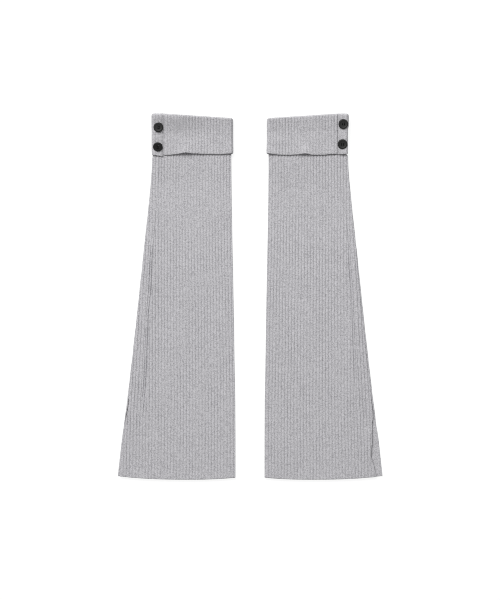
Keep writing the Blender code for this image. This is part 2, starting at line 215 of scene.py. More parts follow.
PRESS_SLOPE = 3.0  # the cuff slopes down to the tab's end, which presses on it, over this distance
MOST_PRESSED = 0.4  # the cuff's hidden face goes down no more than this, to stay clear of the panel
BUTTON_SINK = 1.3  # the thread pulls each button this far into the cloth
BUTTON_DIMPLE = 8.5  # and how wide the dimple is, from its middle
BUTTON_LOW = 0.6  # its rim goes this much further, into the ribs

# The end of the left tab lifts a little between its buttons
EndLift = namedtuple("EndLift", "height up half_up reach")
TAB_END_LIFT = {"left": EndLift(0.6, 223.5, 4.0, 3.0), "right": EndLift(0.0, 223.5, 4.0, 3.0)}

# Where each button is sewn on, how far its upper rim tilts up and how far its holes are turned, both
# in degrees
Button = namedtuple("Button", "name side across up tilt turn")
BUTTONS = (
    Button("left_button_upper", "left", 123.6, 228.4, 2.0, 0.0),
    Button("left_button_lower", "left", 124.4, 202.3, 24.0, 10.0),
    Button("right_button_upper", "right", 125.4, 232.7, 2.5, 90.0),
    Button("right_button_lower", "right", 124.4, 205.7, 3.0, 82.0),
)

# ---------------------------------------------------------------------------------------------
# Sizes of the knit, in millimetres

COURSE = 1.5  # height of one row of stitches
PITCH_TOP = 3.98  # one rib and its groove, where the body is narrow
PITCH_HEM = {"left": 4.26, "right": 4.34}
PITCH_CLIMB = 435.0  # height over which the one becomes the other
CUFF_PITCH = 4.12
CUFF_PHASE = {"left": 0.2, "right": 0.06}
RIB_DEPTH_TOP = 0.9
RIB_DEPTH_HEM = 1.02
DEPTH_FROM = -60.0  # between these the one becomes the other
DEPTH_TO = 130.0
CUFF_RIB_DEPTH = 0.86
TAB_RIB_DEPTH = 0.42
GROOVE_FULLNESS = 3.0
DEEPEST = 1.55  # no groove or crease goes further than this into the cloth
BEND_STRETCH = 0.8  # share of their depth that ribs lose where they are stretched round a side
ROLL_STRETCH = 0.95  # and over the roll
INSIDE_RIBS = 0.35  # share of it that they keep inside the cuff
SEAM_DROOP = 0.55  # the cloth turns in this far along a seam
SEAM_REACH = 1.3

# A cut edge rounds off over the first of these, and by the others on its shown and hidden face
EDGE_ROUND = 0.9
EDGE_SHOWN = 0.75
EDGE_HIDDEN = 0.6
EDGE_FULLNESS = 0.96  # at 1 it would end square to the face
CUFF_EDGE_HIDDEN = 0.4
TAB_EDGE_ROUND = 0.35  # on both faces of the tab, over the cuff
TAB_SIDE_ROUND = 0.8  # and where it goes round the side

# Ribs are shallower near an edge: the share of their depth there, and how far that reaches
HEM_RIBS = 0.55
HEM_RIBS_REACH = 14.0
CUFF_EDGE_RIBS = 0.5
CUFF_EDGE_RIBS_REACH = 8.0
TAB_END_RIBS_REACH = 1.5

# Ribs are deeper along the side by this share, which fades out between two heights
SIDE_RIBS = 0.4
SIDE_RIBS_WIDTH = 20.0
SIDE_RIBS_FROM = 40.0
SIDE_RIBS_TO = 170.0

# Ribs of a tab are shallower by this share between its buttons; it fades in and out again between
# these heights, taken from the tab's top
CALM_RIBS = {"left": 0.6, "right": 0.1}
CALM_FADES_IN = (-32.0, -26.0)
CALM_FADES_OUT = (-22.0, -14.0)

# Handmade unevenness: the most that it comes to, and how far apart its swings are along and up
Unevenness = namedtuple("Unevenness", "most along up")
RIBS_WANDER = Unevenness(0.07, 23.0, 31.0)  # in ribs
RIBS_VARY = Unevenness(0.24, 9.0, 14.0)  # as a share of their depth
CUFF_RIBS_WANDER = Unevenness(0.05, 23.0, 31.0)
CUFF_RIBS_VARY = Unevenness(0.24, 8.0, 10.0)
BILLOW = Unevenness(0.35, 26.0, 40.0)
BILLOW_REACH = 14.0  # the front lies flat at its inner seam and billows this far from it

# Creases along the leg, as soft troughs with a swell each side; gathered is the number of ribs
# that have slipped into the crease
Crease = namedtuple("Crease", "up across depth swell gathered")
CREASE = {
    "left": (
        Crease(-170.0, 144.5, 0.0, 0.3, 0.0),
        Crease(-139.0, 142.6, 1.2, 0.8, 0.2),
        Crease(-125.8, 141.0, 1.5, 0.9, 0.4),
        Crease(-94.7, 139.4, 1.6, 1.1, 0.8),
        Crease(-76.0, 139.0, 1.0, 1.1, 1.0),
        Crease(-58.3, 138.1, 1.4, 1.2, 1.2),
        Crease(-21.8, 136.8, 1.3, 1.2, 1.6),
        Crease(-4.3, 135.0, 1.0, 1.1, 1.8),
        Crease(14.6, 133.2, 1.5, 1.1, 2.0),
        Crease(49.7, 131.9, 1.5, 1.0, 2.6),
        Crease(66.0, 131.0, 1.1, 0.9, 2.8),
        Crease(86.0, 129.5, 0.0, 0.5, 3.0),
        Crease(185.0, 122.0, 0.0, 0.0, 3.0),
    ),
    "right": (
        Crease(-160.0, 144.0, 0.0, 0.2, 0.0),
        Crease(-131.0, 142.0, 0.5, 0.6, 0.2),
        Crease(-106.0, 141.0, 1.1, 0.8, 0.5),
        Crease(-70.0, 139.5, 0.9, 0.9, 0.9),
        Crease(-34.0, 138.1, 1.2, 1.0, 1.3),
        Crease(3.0, 136.8, 0.8, 1.0, 1.7),
        Crease(38.0, 134.1, 1.3, 0.9, 2.1),
        Crease(72.9, 132.0, 0.4, 0.6, 2.7),
        Crease(88.0, 131.2, 0.0, 0.2, 3.0),
        Crease(185.0, 124.0, 0.0, 0.0, 3.0),
    ),
}
CREASE_WIDTH = 0.8
CREASE_IN_CLOTH = 0.6  # share of a crease that goes into the cloth's own thickness too
Pinch = namedtuple("Pinch", "beside share")
PINCHES = (Pinch(0.0, 1.0), Pinch(2.7, 0.8))  # the grooves pinched together in a crease
PINCH_MIDDLE = 1.3
PINCH_CALM = 3.4  # the other ribs flatten this near to the pinch
PINCH_CALM_SHARE = 0.85
SWELL_WIDTH = 9.0
GATHER_WIDTH = 0.6

# How far the fat roll lifts the front of a cuff, and the share of that lift on the way up to it
Roll = namedtuple("Roll", "across height")
ROLL = {
    "left": (Roll(22.0, 5.0), Roll(45.0, 5.5), Roll(67.0, 7.0), Roll(93.0, 9.8), Roll(132.0, 7.4)),
    "right": (Roll(22.0, 4.8), Roll(40.0, 5.4), Roll(62.0, 4.4), Roll(95.0, 4.9), Roll(132.0, 4.7)),
}
Climb = namedtuple("Climb", "up share")
CLIMB = (
    Climb(192.0, 0.0), Climb(206.0, 0.058), Climb(218.0, 0.184), Climb(224.0, 0.316),
    Climb(230.0, 0.519), Climb(241.0, 0.927), Climb(245.0, 1.0),
)

# Soft dents and swells of the cuffs
Swell = namedtuple("Swell", "across up half_across half_up height")
CUFF_SWELLS = {
    "left": (
        Swell(102.0, 225.0, 12.0, 8.0, -0.4),
        Swell(92.0, 206.0, 24.0, 7.0, 0.6),
        Swell(45.0, 212.0, 16.0, 10.0, 0.3),
    ),
    "right": (
        Swell(38.0, 225.0, 14.0, 6.0, -0.3),
        Swell(36.0, 210.0, 14.0, 8.0, 0.6),
        Swell(85.0, 212.0, 20.0, 9.0, 0.4),
    ),
}
CUFF_STAND = 1.0  # the fat roll holds the whole front of the cuff this far off the panel
CUFF_CORNER = 2.0
PANEL_CORNER = 5.0  # the panels' top corners drop with it over this distance
PANEL_TOP_FROM = 200.0  # above this the panels' rows follow the roll's slope
CUFF_BACK_LONGER = 0.9  # the back of a cuff hangs this much lower than its front
CUFF_EDGE_DROOP = 0.5  # the cuff's lower edge turns in this far
CUFF_EDGE_REACH = 5.0

# ---------------------------------------------------------------------------------------------
# Colours, as sRGB hex

PALE_FIBRE = "#d0ced2"
HEATHER_GREY = "#b8b7ba"
DARK_FIBRE = "#77757a"
BUTTON_BLACK = "#151515"
THREAD_BLACK = "#141414"
OPAL_UNLIT = "#727272"  # the light table without its own glow
WHITE = "#ffffff"


def smooth(low, high, at):
    """Share from 0 at low to 1 at high with soft ends."""
    share = np.clip((at - low) / (high - low), 0.0, 1.0)
    return share * share * (3.0 - 2.0 * share)


def straight(table, name, at, key="up"):
    """A column of a table, straight between its rows."""
    return np.interp(at, [getattr(row, key) for row in table], [getattr(row, name) for row in table])


def eased(table, name, at, key="up"):
    """A column of a table, level at each row and soft between them."""
    at = np.asarray(at, dtype=float)
    places = [getattr(row, key) for row in table]
    values = [getattr(row, name) for row in table]
    total = np.full(at.shape, values[0], dtype=float)
    for low, high, before, after in zip(places, places[1:], values, values[1:]):
        total += (after - before) * smooth(low, high, at)
    return total


Wave = namedtuple("Wave", "along up shift")
WAVES = (Wave(1.0, 0.37, 0.0), Wave(-0.61, 1.13, 2.1), Wave(1.71, -0.83, 4.0), Wave(0.43, 1.9, 1.3))
WAVE_SHIFT = 1.7


def uneven(kind, along, up, piece):
    """Smooth unevenness of one kind, the same at each run and another for each piece."""
    total = 0.0
    for number, wave in enumerate(WAVES, 1):
        place = wave.along * along / kind.along + wave.up * up / kind.up
        total = total + np.sin(place + wave.shift + piece * number * WAVE_SHIFT)
    return kind.most * total / len(WAVES)


def inner_edge(side, up):
    """Inner edge of a leg warmer."""
    return straight(OUTLINE, "inner", up) + INNER_EASE[side]


def outer_edge(side, up):
    """Outer edge of a leg warmer."""
    return straight(OUTLINE, "outer", up + TUCK_EARLIER[side]) + OUTER_EASE[side]


def middle(up):
    """Level of the flattened tube's middle."""
    return PANEL_OUT + (CUFF_OUT - PANEL_OUT) * smooth(STEP_LOW, STEP_HIGH, up)


def roll_top(across):
    """Top of the cuff's roll."""
    share = np.clip((across - TOP_SLOPE_TO) / (TOP_SLOPE_FROM - TOP_SLOPE_TO), 0.0, 1.0)
    return TOP_INNER + (TOP_OUTER - TOP_INNER) * share


def hem(across):
    """The hem's curve, which rises each way from its lowest point."""
    inner_share = (across - HEM_LOWEST_ACROSS) / (OUTLINE[0].inner - HEM_LOWEST_ACROSS)
    outer_share = (across - HEM_LOWEST_ACROSS) / (OUTLINE[0].outer - HEM_LOWEST_ACROSS)
    inner_hem = HEM_LOWEST + (HEM_AT_INNER - HEM_LOWEST) * np.abs(inner_share) ** HEM_CURVE
    outer_hem = HEM_LOWEST + (HEM_AT_OUTER - HEM_LOWEST) * np.abs(outer_share) ** HEM_CURVE
    return np.where(across < HEM_LOWEST_ACROSS, inner_hem, outer_hem)


def rounded(distance, depth):
    """How much of a cut edge has rounded off at a distance from the edge."""
    share = np.clip(1.0 - distance / EDGE_ROUND, 0.0, 1.0)
    return depth * (1.0 - np.sqrt(1.0 - EDGE_FULLNESS * share**2))


def grooves(rib):
    """Groove depth as a share: 1 in the middle of each groove, 0 on each rib."""
    return (0.5 + 0.5 * np.cos(2.0 * math.pi * rib)) ** GROOVE_FULLNESS


def stops(*stretches):
    """Places along a cloth: each stretch is its end and its number of steps."""
    places = [stretches[0][0]]
    for end, steps in stretches[1:]:
        first = places[-1]
        places += [first + (end - first) * step / steps for step in range(1, steps + 1)]
    return np.array(places)


def shell(name, faces, knit, finish):
    """Close two equal grids of points, the shown and hidden face of a cloth, into one shell.

    knit holds the number of the rib, of the course and of the piece at each point.
    """
    rows, columns = faces[0].shape[:2]
    count = rows * columns
    points = np.concatenate([face.reshape(-1, 3) for face in faces]) * MM
    spots = np.arange(count).reshape(rows, columns)
    quads = np.stack([spots[:-1, :-1], spots[:-1, 1:], spots[1:, 1:], spots[1:, :-1]], axis=-1)
    quads = quads.reshape(-1, 4)
    border = np.concatenate([spots[0], spots[1:, -1], spots[-1, -2::-1], spots[-2:0:-1, 0]])
    after = np.roll(border, -1)
    rim = np.stack([after, border, border + count, after + count], axis=-1)
    polygons = np.concatenate([quads, quads[:, ::-1] + count, rim])
    mesh = bpy.data.meshes.new(name)
    mesh.from_pydata(points.tolist(), [], polygons.tolist())
    mesh.shade_smooth()
    layer = mesh.attributes.new("knit", "FLOAT_VECTOR", "POINT")
    layer.data.foreach_set("vector", np.concatenate([knit.reshape(-1, 3)] * 2).ravel())
    turned = bmesh.new()
    turned.from_mesh(mesh)
    if turned.calc_volume(signed=True) < 0.0:
        bmesh.ops.reverse_faces(turned, faces=turned.faces)
    turned.to_mesh(mesh)
    turned.free()
    mesh.materials.append(finish)
    piece = bpy.data.objects.new(name, mesh)
    bpy.context.scene.collection.objects.link(piece)
    return piece


# ---------------------------------------------------------------------------------------------
# Panels

# Rows up the leg, and columns as shares of the way across: they are closest at the edges, in the
# crease and under the cuff's edge
PANEL_UPS = stops(
    (HEM_BASE, 0), (HEM_BASE + 0.12, 1), (HEM_BASE + 0.45, 1), (HEM_BASE + 1.0, 1), (HEM_BASE + 3.0, 1),
    (SLIT_FLAT, 18), (-130.0, 20), (184.0, 78), (196.0, 12), (PANEL_TOP_FROM, 2), (236.0, 4),
)
FRONT_SHARES = stops(
    (0.0, 0), (0.001, 1), (0.004, 1), (0.85, 232), (0.915, 36), (0.996, 22), (0.999, 1), (1.0, 1),
)
BACK_SHARES = stops((0.0, 0), (0.001, 1), (0.004, 1), (0.80, 130), (0.996, 60), (0.999, 1), (1.0, 1))


def pitch(side, up):
    """Rib spacing, wider towards the hem."""
    share = np.clip((up - HEM_BASE) / PITCH_CLIMB, 0.0, 1.0)
    return PITCH_HEM[side] + (PITCH_TOP - PITCH_HEM[side]) * share


def creased(side, across, up):
    """Trough and swell of the long crease, the ribs gathered into it and how calm the others are."""
    table = CREASE[side]
    apart = across - straight(table, "across", up)
    depth = eased(table, "depth", up)
    pinched = sum(pinch.share * np.exp(-(((apart - pinch.beside) / CREASE_WIDTH) ** 2)) for pinch in PINCHES)
    near = np.exp(-(((apart - PINCH_MIDDLE) / PINCH_CALM) ** 2))
    calm = PINCH_CALM_SHARE * np.clip(depth, 0.0, 1.0) * near
    swell = eased(table, "swell", up) * np.exp(-((apart / SWELL_WIDTH) ** 2))
    gathered = straight(table, "gathered", up) * smooth(-GATHER_WIDTH / 2, GATHER_WIDTH / 2, apart)
    return depth * pinched, swell, gathered, calm


def panel_faces(side, facing):
    """Shown and hidden face of a panel, and its rib and course numbers."""
    share = (FRONT_SHARES if facing == FRONT else BACK_SHARES)[None, :]
    row_up = PANEL_UPS[:, None]
    first = inner_edge(side, row_up)
    last = outer_edge(side, row_up) - (eased(SIDE[side], "inset", row_up) if facing == FRONT else 0.0)
    guess = first + share * (last - first)
    hem_rise = BACK_HEM_RISE if facing == BACK else 0.0
    bent_row = 1.0 - np.clip((row_up - HEM_BASE) / HEM_BLEND, 0.0, 1.0)
    up = row_up + (hem(guess) + hem_rise - HEM_BASE) * bent_row
    corner = CUFF_CORNER * np.clip(1.0 - (guess - first) / PANEL_CORNER, 0.0, 1.0)
    top = roll_top(guess) - CLOTH_BEND - CUFF_INSIDE[-1] - SEAM_GAP - corner
    to_top = np.clip((row_up - PANEL_TOP_FROM) / (PANEL_UPS[-1] - PANEL_TOP_FROM), 0.0, 1.0)
    up = up + (top - PANEL_UPS[-1]) * to_top

    # The cloth goes round the inner edge, across, and round or out to the outer edge
    slit = 1.0 - smooth(SLIT_FLAT, SLIT_TOP, up)
    bent = 1.0 - FRONT_UNROLLS * slit if facing == FRONT else eased(SIDE[side], "curl", up)
    roll = eased(SIDE[side], "roll", up)
    inset = eased(SIDE[side], "inset", up) if facing == FRONT else 0.0
    quarter = PANEL_OUT * QUARTER
    past = quarter - facing * roll - SEAM_GAP / 2
    reach = bent * PANEL_OUT + (1.0 - bent) * past
    start = inner_edge(side, up) + PANEL_OUT
    end = outer_edge(side, up) - inset - reach
    whole = quarter + (end - start) + past
    along = SEAM_GAP / 2 + share * (whole - SEAM_GAP / 2)

    inner_turn = np.clip(along / PANEL_OUT, 0.0, QUARTER)
    flat = np.clip(along - quarter, 0.0, end - start)
    beyond = np.clip(along - quarter - (end - start), 0.0, None)
    outer_turn = beyond / PANEL_OUT
    place = start + flat + beyond

    depth, swell, gathered, calm = creased(side, start + flat, up)
    if facing == BACK:
        depth, gathered, calm = 0.0, 0.0, 0.0
    rib = (along - quarter) / pitch(side, up) + gathered
    rib = rib + uneven(RIBS_WANDER, along, up, SIDES[side] + facing)
    strength = 1.0 + uneven(RIBS_VARY, along, up, 3.0 * SIDES[side] + facing)
    strength = strength * (HEM_RIBS + (1.0 - HEM_RIBS) * smooth(0.0, HEM_RIBS_REACH, up - hem(place)))
    beside = np.exp(-(((whole - along) / SIDE_RIBS_WIDTH) ** 2))
    strength = strength * (1.0 + SIDE_RIBS * beside * (1.0 - smooth(SIDE_RIBS_FROM, SIDE_RIBS_TO, up)))
    rib_depth = RIB_DEPTH_HEM + (RIB_DEPTH_TOP - RIB_DEPTH_HEM) * smooth(DEPTH_FROM, DEPTH_TO, up)
    stretched = BEND_STRETCH * bent * np.clip(outer_turn, 0.0, 1.0)
    relief = rib_depth * strength * grooves(rib) * (1.0 - stretched)
    relief = relief * (1.0 - calm) + CREASE_IN_CLOTH * depth

    to_seam = np.minimum(along, np.where(slit > SEAM_OPENS, FAR, whole - along))
    droop = SEAM_DROOP * np.clip(1.0 - to_seam / SEAM_REACH, 0.0, 1.0) ** 2
    to_edge = np.minimum(up - hem(place) - hem_rise, np.where(slit > EDGE_FREE, whole - along, FAR))
    shown = PANEL_OUT - np.minimum(relief + droop, DEEPEST) - rounded(to_edge, EDGE_SHOWN)
    hidden = PANEL_IN + rounded(to_edge, EDGE_HIDDEN)

    gape = eased(SIDE[side], "gape", up) * np.exp(-(((whole - along) / GAPE_WIDTH) ** 2))
    billow = BILLOW.most + uneven(BILLOW, along, up, 5.0 + SIDES[side]) + swell - depth + gape
    billow = billow * smooth(0.0, BILLOW_REACH, along) if facing == FRONT else np.zeros_like(along)
    faces = []
    for off in (shown, hidden):
        inner_side = along < quarter
        across = np.where(
            inner_side,
            start - off * np.cos(inner_turn),
            start + flat + bent * off * np.sin(outer_turn) + (1.0 - bent) * beyond,
        )
        height = np.where(
            inner_side,
            off * np.sin(inner_turn),
            off * (bent * np.cos(outer_turn) + 1.0 - bent),
        )
        level = middle(up) + facing * height + billow
        faces.append(np.stack([SIDES[side] * across, up, level], axis=-1))
    knit = np.stack([rib, up / COURSE, np.full_like(rib, 3.0 * SIDES[side] + facing)], axis=-1)
    return faces, knit


def add_panel(side, facing, name, finish):
    """Front or back panel of one leg warmer."""
    faces, knit = panel_faces(side, facing)
    return shell(name, faces, knit, finish)


# ---------------------------------------------------------------------------------------------
# Cuffs

CUFF_RISE = stops((0.0, 0), (0.003, 1), (0.01, 1), (0.022, 1), (0.1, 2), (0.85, 14), (1.0, 4))
ROLL_STEPS = 12
CUFF_INSIDE = (1.0, 3.0)  # rows inside the cuff, this far below the roll
CUFF_FRONT_STEPS = 208
CUFF_BEND_STEPS = 14
CUFF_BACK_STEPS = 110
CUFF_MIDDLE = middle(TOP_OUTER)

# One row of a cuff: where its shown and its hidden face are, the way the shown face looks there, how
# far it is from the lower edge, and how far along its ribs
CuffRow = namedtuple("CuffRow", "up off hidden_up hidden_off looks_up looks_off edge run")


def puffed(side, across, up):
    """How far the roll and the soft swells of a cuff hold its front up."""
    total = CUFF_STAND + eased(ROLL[side], "height", across, "across") * straight(CLIMB, "share", up)
    total = total - TAB_BED * smooth(TAB[side].end - TAB_BED_SLOPE, TAB[side].end, across)
    for swell in CUFF_SWELLS[side]:
        apart = ((across - swell.across) / swell.half_across) ** 2 + ((up - swell.up) / swell.half_up) ** 2
        total = total + swell.height * np.exp(-apart)
    return total


def dimpled(side, across, up):
    """How far the buttons' thread pulls the cloth down round them."""
    total = 0.0
    for button in BUTTONS:
        if button.side == side:
            apart = (across - button.across) ** 2 + (up - button.up) ** 2
            total = total + BUTTON_SINK * np.exp(-apart / BUTTON_DIMPLE**2)
    return total


def settled(side, low, up):
    """How far the lower end of a tab settles."""
    return TAB[side].settle * (1.0 - smooth(low, low + TAB_SETTLE_REACH, up))


def pressed(side, across, up):
    """How far the tab and its buttons press the front of the cuff down."""
    tab = TAB[side]
    total = settled(side, tab.low, up) + dimpled(side, across, up)
    return total * smooth(tab.end - PRESS_SLOPE, tab.end, across)


def cuff_columns(start, end, back_end):
    """Distance along the cuff from its inner edge, plus on the front and minus on the back."""
    quarter = CUFF_OUT * QUARTER
    length = quarter + end - start
    whole = length + quarter - SEAM_GAP / 2
    return stops(
        (whole, 0), (length, CUFF_BEND_STEPS), (quarter, CUFF_FRONT_STEPS), (-quarter, CUFF_BEND_STEPS),
        (start - back_end - quarter, CUFF_BACK_STEPS),
    )


def cuff_rows(low, lift, centre):
    """Rows of a cuff, from its lower edge up to the roll's centre, over the roll and down inside."""
    even = np.zeros_like(centre)
    rows = []
    for share in CUFF_RISE:
        up = low + share * (centre - low)
        lifted = lift * (1.0 - np.clip((up - low) / LIFT_REACH, 0.0, 1.0)) ** 2
        rows.append(CuffRow(up, CUFF_OUT + lifted, up, CUFF_IN + lifted, 0.0, 1.0, up - low, up))
    roll_off = (PANEL_OUT + CUFF_IN) / 2
    core = SEAM_GAP / 2
    for step in range(1, ROLL_STEPS + 1):
        angle = math.pi * step / ROLL_STEPS
        rise, reach = math.sin(angle), math.cos(angle)
        rows.append(CuffRow(
            centre + CLOTH_BEND * rise, even + roll_off + CLOTH_BEND * reach,
            centre + core * rise, even + roll_off + core * reach,
            rise, reach, even + FAR, centre + CLOTH_BEND * angle,
        ))
    for drop in CUFF_INSIDE:
        up = centre - drop
        run = centre + CLOTH_BEND * math.pi + drop
        rows.append(CuffRow(up, even + PANEL_IN, up, even + PANEL_OUT, 0.0, -1.0, even + FAR, run))
    return rows


def cuff_faces(side):
    """Both faces of the turned-down cuff, and its rib and course numbers."""
    start = OUTLINE[-1].inner + INNER_EASE[side] + CLOTH_BEND
    back_end = CUFF_OUTER + OUTER_EASE[side] - CLOTH_BEND - SEAM_GAP
    end = CUFF_OUTER + OUTER_EASE[side] - CLOTH_BEND - CUFF_END_BACK
    along = cuff_columns(start, end, back_end)[None, :]
    front = along > 0.0
    facing = np.where(front, FRONT, BACK)
    quarter = CUFF_OUT * QUARTER
    turn = np.clip(np.abs(along) / CUFF_OUT, 0.0, QUARTER)
    flat = np.clip(np.abs(along) - quarter, 0.0, np.where(front, end, back_end) - start)
    outer_turn = np.where(front, np.clip((along - quarter - (end - start)) / CUFF_OUT, 0.0, QUARTER), 0.0)
    place = start + flat - CUFF_OUT * np.cos(turn) + CUFF_OUT * np.sin(outer_turn)

    forward = np.where(front, np.sin(turn), 0.0)
    low = eased(CUFF_EDGE[side], "up", place, "across") - CUFF_BACK_LONGER * (1.0 - forward) ** 2
    lift = eased(CUFF_EDGE[side], "lift", place, "across") * forward
    past = np.clip((start - CUFF_OUT + CUFF_CORNER - place) / CUFF_CORNER, 0.0, 1.0)
    centre = roll_top(place) - CUFF_CORNER * (1.0 - np.sqrt(1.0 - past**2)) - CLOTH_BEND

    shown, hidden, knit = [], [], []
    for row in cuff_rows(low, lift, centre):
        rib = along / CUFF_PITCH + CUFF_PHASE[side]
        rib = rib + uneven(CUFF_RIBS_WANDER, along, row.run, 7.0 + SIDES[side])
        strength = 1.0 + uneven(CUFF_RIBS_VARY, along, row.run, 9.0 * SIDES[side])
        near = smooth(0.0, CUFF_EDGE_RIBS_REACH, row.edge)
        strength = strength * (CUFF_EDGE_RIBS + (1.0 - CUFF_EDGE_RIBS) * near)
        relief = np.minimum(CUFF_RIB_DEPTH * strength * grooves(rib), DEEPEST)
        inside = row.looks_off < -0.5
        relief = relief * (INSIDE_RIBS if inside else 1.0 - ROLL_STRETCH * row.looks_up)
        droop = CUFF_EDGE_DROOP * (1.0 - np.clip(row.edge / CUFF_EDGE_REACH, 0.0, 1.0)) ** 2
        thin = CUFF_END_THIN[side] * np.sin(outer_turn)
        shown_off = row.off - relief * row.looks_off - rounded(row.edge, EDGE_SHOWN) - droop - thin
        hidden_off = row.hidden_off + rounded(row.edge, CUFF_EDGE_HIDDEN)
        shown_up = row.up - relief * row.looks_up
        raised = forward * (1.0 + row.looks_off) / 2
        press = pressed(side, place, row.up)
        for face, up, off, down in (
            (shown, shown_up, shown_off, press),
            (hidden, row.hidden_up, hidden_off, np.minimum(press, MOST_PRESSED)),
        ):
            across = start + flat - off * np.cos(turn) + off * np.sin(outer_turn)
            height = facing * off * np.sin(turn) + raised * (puffed(side, place, row.up) - down)
            level = CUFF_MIDDLE + height * np.cos(outer_turn)
            face.append(np.stack(np.broadcast_arrays(SIDES[side] * across, up, level), axis=-1)[0])
        numbers = np.broadcast_arrays(rib, row.run / COURSE, 5.0 * SIDES[side])
        knit.append(np.stack(numbers, axis=-1)[0])
    return [np.array(shown), np.array(hidden)], np.array(knit)


def add_cuff(side, name, finish):
    """The turned-down cuff: front, inner edge and back in one shell."""
    faces, knit = cuff_faces(side)
    return shell(name, faces, knit, finish)


# ---------------------------------------------------------------------------------------------
# Button tabs

TAB_RISE = stops((0.0, 0), (0.003, 1), (0.01, 1), (0.022, 1), (0.978, 36), (0.99, 1), (0.997, 1), (1.0, 1))
TAB_TURN_STEPS = 30
TAB_FLAT_STEPS = 26
TAB_NEAR_END = (1.3, 0.7, 0.25, 0.0)  # the last columns, this far from the free end


def tab_columns(flat_length):
    """Turn round the outer side and distance past the turn, for each column of a tab."""
    steps = range(1, TAB_FLAT_STEPS - 2)
    flats = [flat_length * step / TAB_FLAT_STEPS for step in steps]
    flats += [flat_length - rest for rest in TAB_NEAR_END]
    turns = [math.pi * step / TAB_TURN_STEPS - QUARTER for step in range(TAB_TURN_STEPS + 1)]
    return [(turn, 0.0) for turn in turns] + [(QUARTER, flat) for flat in flats]


def tab_relief(side, rib, from_top, to_end):
    """Depth of a tab's grooves."""
    between = smooth(*CALM_FADES_IN, from_top) * (1.0 - smooth(*CALM_FADES_OUT, from_top))
    strength = 1.0 - CALM_RIBS[side] * between
    return TAB_RIB_DEPTH * strength * grooves(rib) * smooth(0.0, TAB_END_RIBS_REACH, to_end)


def tab_faces(side):
    """Both faces of the tab, from the back round the outer side to its free end."""
    tab = TAB[side]
    end_lift = TAB_END_LIFT[side]
    bend_end = CUFF_OUTER + OUTER_EASE[side] - CLOTH_BEND
    flat_length = bend_end - tab.end
    first_rib = CUFF_OUT * QUARTER - OUTLINE[-1].inner - INNER_EASE[side] - CLOTH_BEND
    shown, hidden, knit = [], [], []
    for turn, flat in tab_columns(flat_length):
        on_side = turn < QUARTER
        to_end = FAR if on_side else flat_length - flat
        turned = 0.5 + turn / math.pi
        forward = max(math.sin(turn), 0.0)
        outward = math.cos(turn) if on_side else 0.0
        square_out = outward**TAB_SQUARENESS
        square_up = math.copysign(abs(math.sin(turn)) ** TAB_SQUARENESS, turn)

        hidden_off = CUFF_IN + (TAB_IN - CUFF_IN) * float(smooth(0.0, 1.0, turned))
        thick = TAB_OUT - TAB_IN - TAB_THINNING * flat / flat_length
        thick -= TAB_EDGE * (1.0 - smooth(0.0, TAB_EDGE_REACH, to_end))
        shown_off = hidden_off + thick
        low = tab.low_outer + (tab.low - tab.low_outer) * flat / flat_length
        across = bend_end + shown_off * square_out
        past = min(max((across - (bend_end + TAB_SIDE - TAB_CORNER)) / TAB_CORNER, 0.0), 1.0)
        top = float(roll_top(across))
        high = top - TAB_TOP_DROP - TAB_CORNER * (1.0 - math.sqrt(1.0 - past * past))
        up = low + TAB_RISE * (high - low)

        along = bend_end - flat + (QUARTER - turn) * TAB_OUT + first_rib
        rib = np.full_like(up, along / CUFF_PITCH + CUFF_PHASE[side])
        relief = tab_relief(side, rib, up - high, to_end) * (1.0 - BEND_STRETCH * outward)
        edge = np.minimum(np.minimum(up - low, high - up), to_end)
        cut = rounded(edge, TAB_SIDE_ROUND if on_side else TAB_EDGE_ROUND)
        lift = end_lift.height * np.exp(-(((up - end_lift.up) / end_lift.half_up) ** 2))
        lift = lift * math.exp(-((to_end / end_lift.reach) ** 2))
        settle = settled(side, low, up) * smooth(TAB_SETTLES_FROM, 1.0, turned)
        above = smooth(TAB_SNUG_AT - TAB_SNUG_BLEND, TAB_SNUG_AT + TAB_SNUG_BLEND, up)
        snug = tab.snug * (1.0 - above) * outward

        # The tab goes up with the cuff's front under it and over the roll with it
        over = np.clip((up - top + CLOTH_BEND) / CLOTH_BEND, 0.0, 1.0)
        nose = np.sqrt(1.0 - over**2)
        puff = puffed(side, bend_end - flat, up) * (0.5 + 0.5 * nose)
        rise = forward * (puff - dimpled(side, bend_end - flat, up) - CLOTH_BEND * (1.0 - nose))
        outer = np.maximum(shown_off - relief - cut, hidden_off + TAB_THINNEST)
        for face, off in ((shown, outer), (hidden, hidden_off + cut)):
            off = off + lift - settle - snug
            place = bend_end - flat + off * square_out
            level = CUFF_MIDDLE + off * square_up + rise
            face.append(np.stack(np.broadcast_arrays(SIDES[side] * place, up, level), axis=-1))
        knit.append(np.stack(np.broadcast_arrays(rib, up / COURSE, 7.0 * SIDES[side]), axis=-1))
    return [np.array(shown), np.array(hidden)], np.array(knit)


def add_tab(side, name, finish):
    """The button tab."""
    faces, knit = tab_faces(side)
    return shell(name, faces, knit, finish)


# ---------------------------------------------------------------------------------------------
# Materials

# The yarn's pattern.  A stitch is half a rib wide and a course high.  The flecks of a real melange
# are single fibres, too fine to show, so here a fleck is as coarse as 1.0 by 0.75 millimetres: a
# quarter of a rib by half a course
STITCHES_TO_RIB = 2.0
FLECKS_TO_RIB = 4.0
FLECKS_TO_COURSE = 2.0
FIBRES_TO_STITCH = 2.6
LOOP_HEIGHT = 0.1  # millimetres
LOOP_LEAN = 2.4  # how many courses a strand climbs over the width of a rib
FUZZ = 0.5  # the loose fibres stand up by this share of a loop

# How high the yarn lies, from the groove to the middle of the rib, where the two legs of a stitch meet
YARN_HEIGHT = {0.0: 0.25, 0.2: 0.45, 0.33: 1.0, 0.42: 0.95, 0.5: 0.45}

